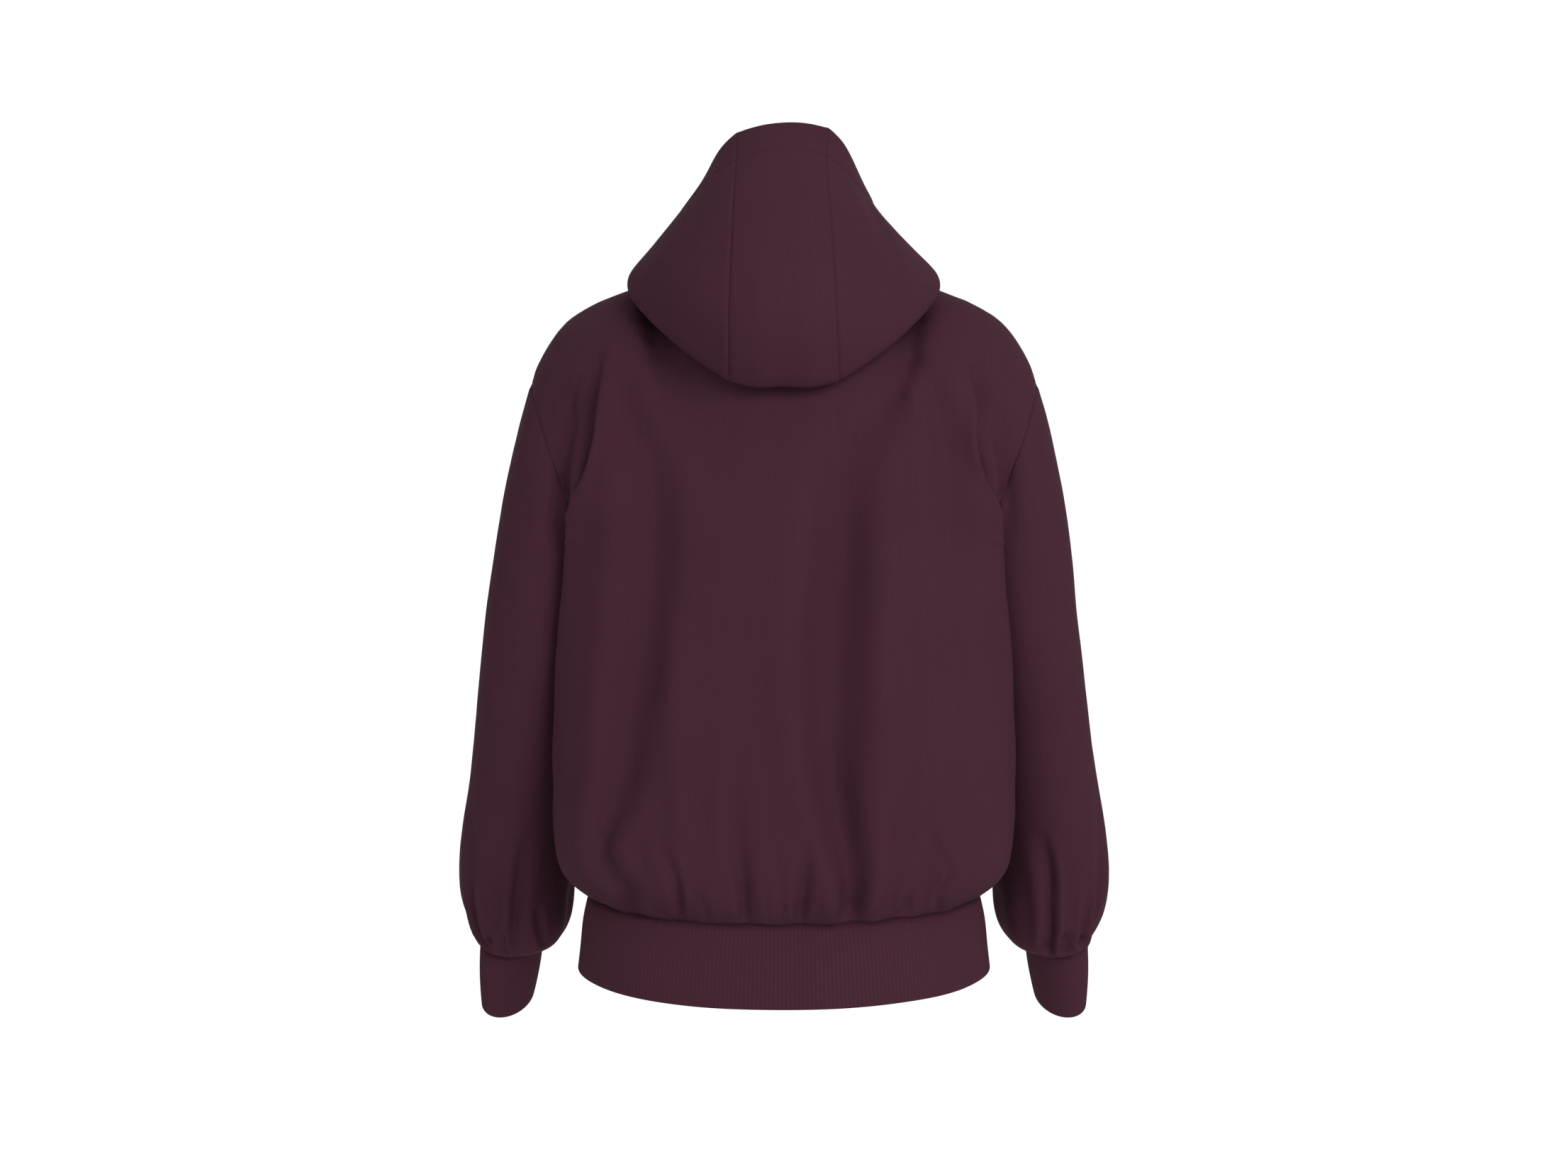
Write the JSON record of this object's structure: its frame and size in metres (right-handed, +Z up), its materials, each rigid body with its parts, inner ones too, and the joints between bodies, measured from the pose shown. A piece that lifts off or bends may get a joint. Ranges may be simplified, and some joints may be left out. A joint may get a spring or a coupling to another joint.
{
  "type": "hooded sweatshirt",
  "caption": "Worn, hollow hooded sweatshirt with the hood down, drop shoulders, full sleeves, rib cuffs and hem.",
  "frame": {"origin": "centre of the neck opening, level with the highest points of the shoulders, where the wearer holds it up", "axes": "+Z up out of the neck, -Y the way the wearer faces, +X to the wearer's left"},
  "size_m": [0.6216, 0.3195, 0.8228],
  "materials": {
    "brushed_fleece": "matt",
    "hood_fleece": "matt",
    "rib_knit": "matt rib"
  },
  "bodies": {
    "root": {"back": "brushed_fleece", "front": "brushed_fleece", "sleeve_left": "brushed_fleece", "sleeve_right": "brushed_fleece", "cuff_left": "rib_knit", "cuff_right": "rib_knit", "hem_band": "rib_knit", "hood_left": "hood_fleece", "hood_centre": "hood_fleece", "hood_right": "hood_fleece"}
  },
  "joints": []
}
